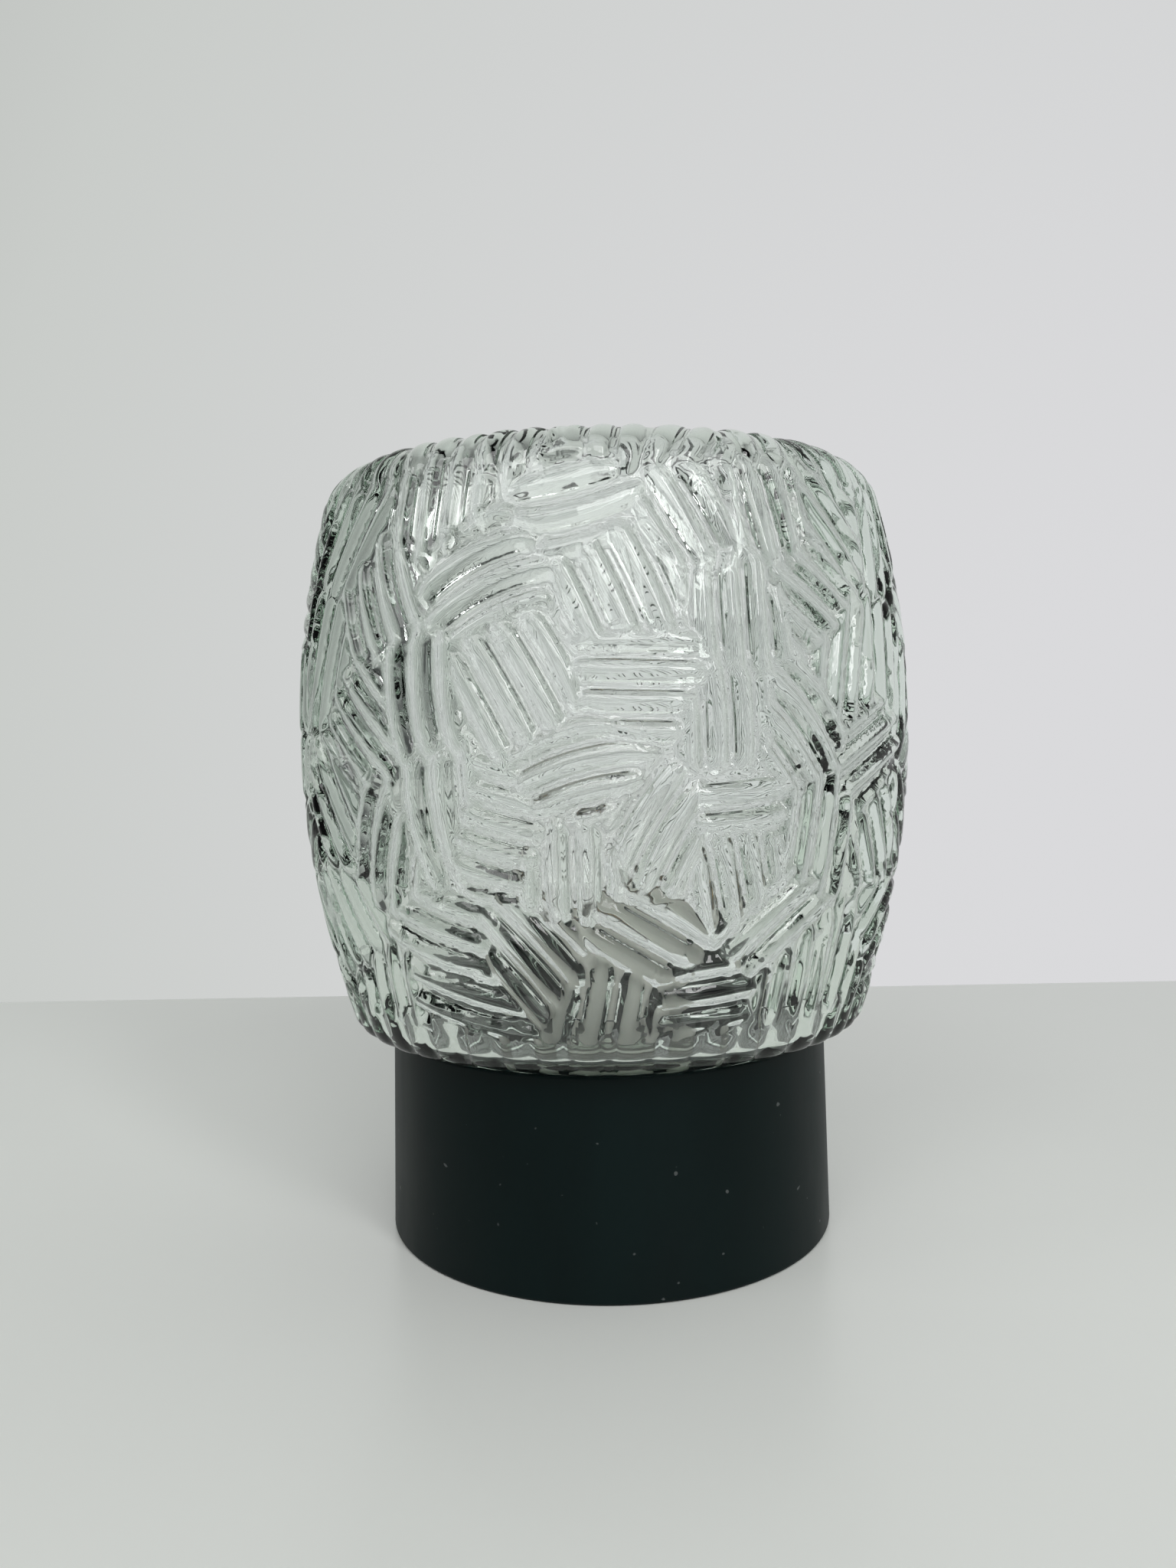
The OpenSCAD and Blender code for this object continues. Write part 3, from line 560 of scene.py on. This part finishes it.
def blown_shade():
    rib_step, rib_columns, plain_columns = 0.95 * MM, 480, 120
    outside = turned("glass_shade_ribbed", shade_outside(rib_step), rib_columns)
    crowd_front(outside)
    press_ribs(outside)
    inside = turned("shade_inside", shade_inside(), plain_columns)
    crowd_front(inside)
    cut_thread(inside)
    follow_ribs(inside)
    bpy.ops.object.select_all(action="DESELECT")
    inside.select_set(True)
    outside.select_set(True)
    bpy.context.view_layer.objects.active = outside
    bpy.ops.object.join()
    bpy.ops.object.mode_set(mode="EDIT")
    bpy.ops.mesh.select_mode(type="EDGE")
    bpy.ops.mesh.select_all(action="DESELECT")
    bpy.ops.mesh.select_non_manifold()
    bpy.ops.mesh.bridge_edge_loops()
    bpy.ops.mesh.select_all(action="SELECT")
    bpy.ops.mesh.normals_make_consistent(inside=False)
    bpy.ops.object.mode_set(mode="OBJECT")
    bpy.ops.object.shade_smooth()
    outside.data.materials.clear()
    outside.data.materials.append(shade_glass())
    return outside


shade = blown_shade()
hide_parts("glass_shade")
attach(shade, "shade")


# Gasket and cable bush: black rubber, moulded, matt, with a faint bloom where it has been handled.
# The gasket lies under the foot of the glass, and the bush is pushed into the base's cable entry.
def rubber():
    material, tree, shader, place = new_material("rubber")
    bloom = cloud(tree, place, 180, 4)
    coloured(tree, shader, bloom, (0.006, 0.006, 0.006), (0.02, 0.02, 0.021))
    roughened(tree, shader, bloom, 0.65, 0.85)
    relief_bump(tree, shader, cloud(tree, place, 1500, 2), 0.2, 0.00008)
    return material


black_rubber = rubber()
dress("shade_gasket", black_rubber)
dress("cable_grommet", black_rubber)


# Lampholder body: white porcelain, turned, glazed and fired, a little yellowed by the lamp's heat.
# It stands on the bracket, held from below by two screws.
def porcelain():
    material, tree, shader, place = new_material("porcelain")
    stain = cloud(tree, place, 55, 4)
    fleck = cloud(tree, place, 700, 1)
    glaze = ramp(tree, stain, (0.74, 0.73, 0.67), (0.84, 0.83, 0.78))
    marks = ramp(tree, fleck, 0.0, 0.5, 0.74, 0.78)
    tree.links.new(mixed(tree, marks, glaze, (0.46, 0.4, 0.3)), shader.inputs["Base Color"])
    roughened(tree, shader, stain, 0.16, 0.28)
    relief_bump(tree, shader, cloud(tree, place, 260, 2), 0.15, 0.00006)
    return material


dress("holder_body", porcelain())


# Bracket and screws: bright zinc on pressed steel strip and on slotted pan-head screws, dulled
# in patches. The bracket is screwed to the floor of the base.
def zinc_steel():
    material, tree, shader, place = new_material("zinc_steel")
    shader.inputs["Metallic"].default_value = 1
    dull = cloud(tree, place, 160, 5)
    coloured(tree, shader, dull, (0.42, 0.42, 0.4), (0.66, 0.66, 0.65))
    roughened(tree, shader, dull, 0.24, 0.46)
    relief_bump(tree, shader, cloud(tree, stretched(tree, place, (1, 8, 1)), 500, 2), 0.15, 0.00004)
    return material


zinc = zinc_steel()
for screwed in ("lampholder_bracket", "bracket_screws", "holder_screws", "holder_terminal_screws",
                "block_clamp_screws", "block_screw"):
    dress(screwed, zinc)


# Contacts and terminals: stamped brass sheet and drilled brass bar, yellow with brown tarnish. The
# screw shell sits in the socket, and strips join it and the centre contact to their terminals.
def brass():
    material, tree, shader, place = new_material("brass")
    shader.inputs["Metallic"].default_value = 1
    tarnish = cloud(tree, place, 120, 5)
    coloured(tree, shader, tarnish, (0.36, 0.22, 0.08), (0.68, 0.49, 0.2))
    roughened(tree, shader, tarnish, 0.42, 0.22)
    relief_bump(tree, shader, cloud(tree, place, 900, 2), 0.1, 0.00004)
    return material


yellow_brass = brass()
for stamped in ("screw_shell", "shell_strip", "contact_riser", "holder_terminals", "centre_contact",
                "block_tubes"):
    dress(stamped, yellow_brass)


# Supply block: a cream moulding round two brass tubes, in which the supply meets the leads. One
# screw holds it to the floor of the base.
def cream_moulding():
    material, tree, shader, place = new_material("cream_moulding")
    age = cloud(tree, place, 90, 3)
    coloured(tree, shader, age, (0.62, 0.56, 0.42), (0.76, 0.72, 0.6))
    roughened(tree, shader, age, 0.3, 0.45)
    return material


dress("terminal_block", cream_moulding())


# Leads: soft extruded insulation over copper strands, brown for live and blue for neutral, from
# the supply block up into the lampholder's terminals.
def insulation(name, dark, light):
    material, tree, shader, place = new_material(name)
    wear = cloud(tree, place, 200, 3)
    coloured(tree, shader, wear, dark, light)
    roughened(tree, shader, wear, 0.35, 0.5)
    return material


dress("live_lead", insulation("brown_insulation", (0.06, 0.022, 0.01), (0.1, 0.04, 0.018)))
dress("neutral_lead", insulation("blue_insulation", (0.015, 0.06, 0.2), (0.03, 0.1, 0.3)))


# Bulb: a clear blown glass ball cemented into a thin threaded cap, with a black glass insulator
# and a solder tip below, and a coiled filament on two wires over a glass stem. It screws in.
def clear_glass():
    material, tree, shader, place = new_material("bulb_glass")
    shader.inputs["Transmission Weight"].default_value = 1
    shader.inputs["IOR"].default_value = 1.45
    haze = cloud(tree, place, 60, 3)
    coloured(tree, shader, haze, (0.97, 0.97, 0.965), (1.0, 1.0, 1.0))
    roughened(tree, shader, haze, 0.0, 0.03, 0.5, 0.85)
    return material


def soft_metal(name, dark, light, rough):
    material, tree, shader, place = new_material(name)
    shader.inputs["Metallic"].default_value = 1
    dull = cloud(tree, place, 220, 4)
    coloured(tree, shader, dull, dark, light)
    roughened(tree, shader, dull, rough, rough + 0.18)
    relief_bump(tree, shader, cloud(tree, place, 1100, 2), 0.1, 0.00004)
    return material


def black_glass():
    material, tree, shader, place = new_material("black_glass")
    swirl = cloud(tree, place, 300, 3)
    coloured(tree, shader, swirl, (0.004, 0.004, 0.008), (0.012, 0.012, 0.02))
    roughened(tree, shader, swirl, 0.06, 0.16)
    return material


bulb_clear = clear_glass()
cap_sheet = soft_metal("cap_metal", (0.55, 0.55, 0.54), (0.78, 0.78, 0.77), 0.18)
dress("bulb_glass", bulb_clear)
dress("bulb_stem", bulb_clear)
dress("bulb_cap", cap_sheet)
dress("lead_in_wires", cap_sheet)
dress("bulb_contact", soft_metal("solder", (0.3, 0.3, 0.31), (0.5, 0.5, 0.52), 0.35))
dress("bulb_insulator", black_glass())
dress("filament", soft_metal("tungsten", (0.09, 0.09, 0.095), (0.2, 0.2, 0.205), 0.4))


# Table and light: a pale table top that ends at a pale wall, a dim room before it, three windows
# that the ribs catch as bright slivers, and a broad soft lamp high in front.
def pale_table():
    material, tree, shader, place = new_material("pale_table")
    tone = cloud(tree, place, 3, 2)
    coloured(tree, shader, tone, (0.81, 0.83, 0.8), (0.85, 0.87, 0.84))
    shader.inputs["Roughness"].default_value = 0.3
    return material


bpy.ops.object.select_all(action="DESELECT")
table_size = 4
table_edge = 0.252
bpy.ops.mesh.primitive_plane_add(size=table_size, location=(0, table_edge - table_size / 2, 0))
bpy.ops.object.transform_apply(location=True, rotation=False, scale=False)
floor = bpy.context.object
floor.name = "table_top"
floor.data.materials.append(pale_table())


def soft_lamp(name, place, aim, size, watts):
    data = bpy.data.lights.new(name, "AREA")
    data.shape = "RECTANGLE"
    data.size, data.size_y = size
    data.energy = watts
    lamp = bpy.data.objects.new(name, data)
    bpy.context.scene.collection.objects.link(lamp)
    lamp.location = place
    lamp.rotation_euler = (Vector(aim) - Vector(place)).to_track_quat("-Z", "Y").to_euler()


soft_lamp("window_left", (-1.55, -0.57, 1.1), (0, 0, 0.15), (0.7, 0.35), 2.6)
soft_lamp("window_right", (0.85, -1.35, 1.1), (0, 0, 0.1), (0.3, 1.0), 8)
soft_lamp("window_front", (0.25, -1.5, 0.85), (0, 0, 0.15), (0.9, 0.25), 2.8)
soft_lamp("broad_lamp", (-0.2, -1.5, 1.5), (0, 0, 0), (1.8, 1.0), 17.5)

world = bpy.data.worlds.new("room")
bpy.context.scene.world = world
world.use_nodes = True
room = world.node_tree
way = room.nodes.new("ShaderNodeTexCoord")
facing = room.nodes.new("ShaderNodeVectorMath")
facing.operation = "DOT_PRODUCT"
toward_wall = (0.43, 0.88, -0.03)
facing.inputs[1].default_value = toward_wall
room.links.new(way.outputs["Generated"], facing.inputs[0])
half = room.nodes.new("ShaderNodeMapRange")
half.inputs["From Min"].default_value = -1
half.inputs["From Max"].default_value = 1
room.links.new(facing.outputs["Value"], half.inputs["Value"])
tone = room.nodes.new("ShaderNodeValToRGB")
steps = tone.color_ramp.elements
dim_room = (0.07, 0.073, 0.073, 1)
wall_side = (0.585, 0.605, 0.585, 1)
wall_middle = (0.7, 0.7, 0.715, 1)
steps[0].position, steps[0].color = 0.33, dim_room
steps[1].position, steps[1].color = 0.985, wall_middle
steps.new(0.79).color = wall_side
room.links.new(half.outputs["Result"], tone.inputs["Fac"])
room.links.new(tone.outputs["Color"], room.nodes["Background"].inputs["Color"])


# Camera: where the photograph was taken from, some 0.3 m before the light and level with the belly
# of the shade, tipped a little down.
camera_data = bpy.data.cameras.new("camera")
camera = bpy.data.objects.new("camera", camera_data)
bpy.context.scene.collection.objects.link(camera)
bpy.context.scene.camera = camera
camera_data.lens = 27.03
camera_data.sensor_width = 36
camera_data.clip_start = 0.01
camera.location = (-4.1 * MM, -298.9 * MM, 120.7 * MM)
tip_down = 0.0411
roll = -0.0183
upright = Euler((math.pi / 2 - tip_down, 0, 0)).to_matrix()
camera.rotation_euler = (upright @ Matrix.Rotation(roll, 3, "Z")).to_euler()

bpy.context.scene.view_settings.view_transform = "Standard"
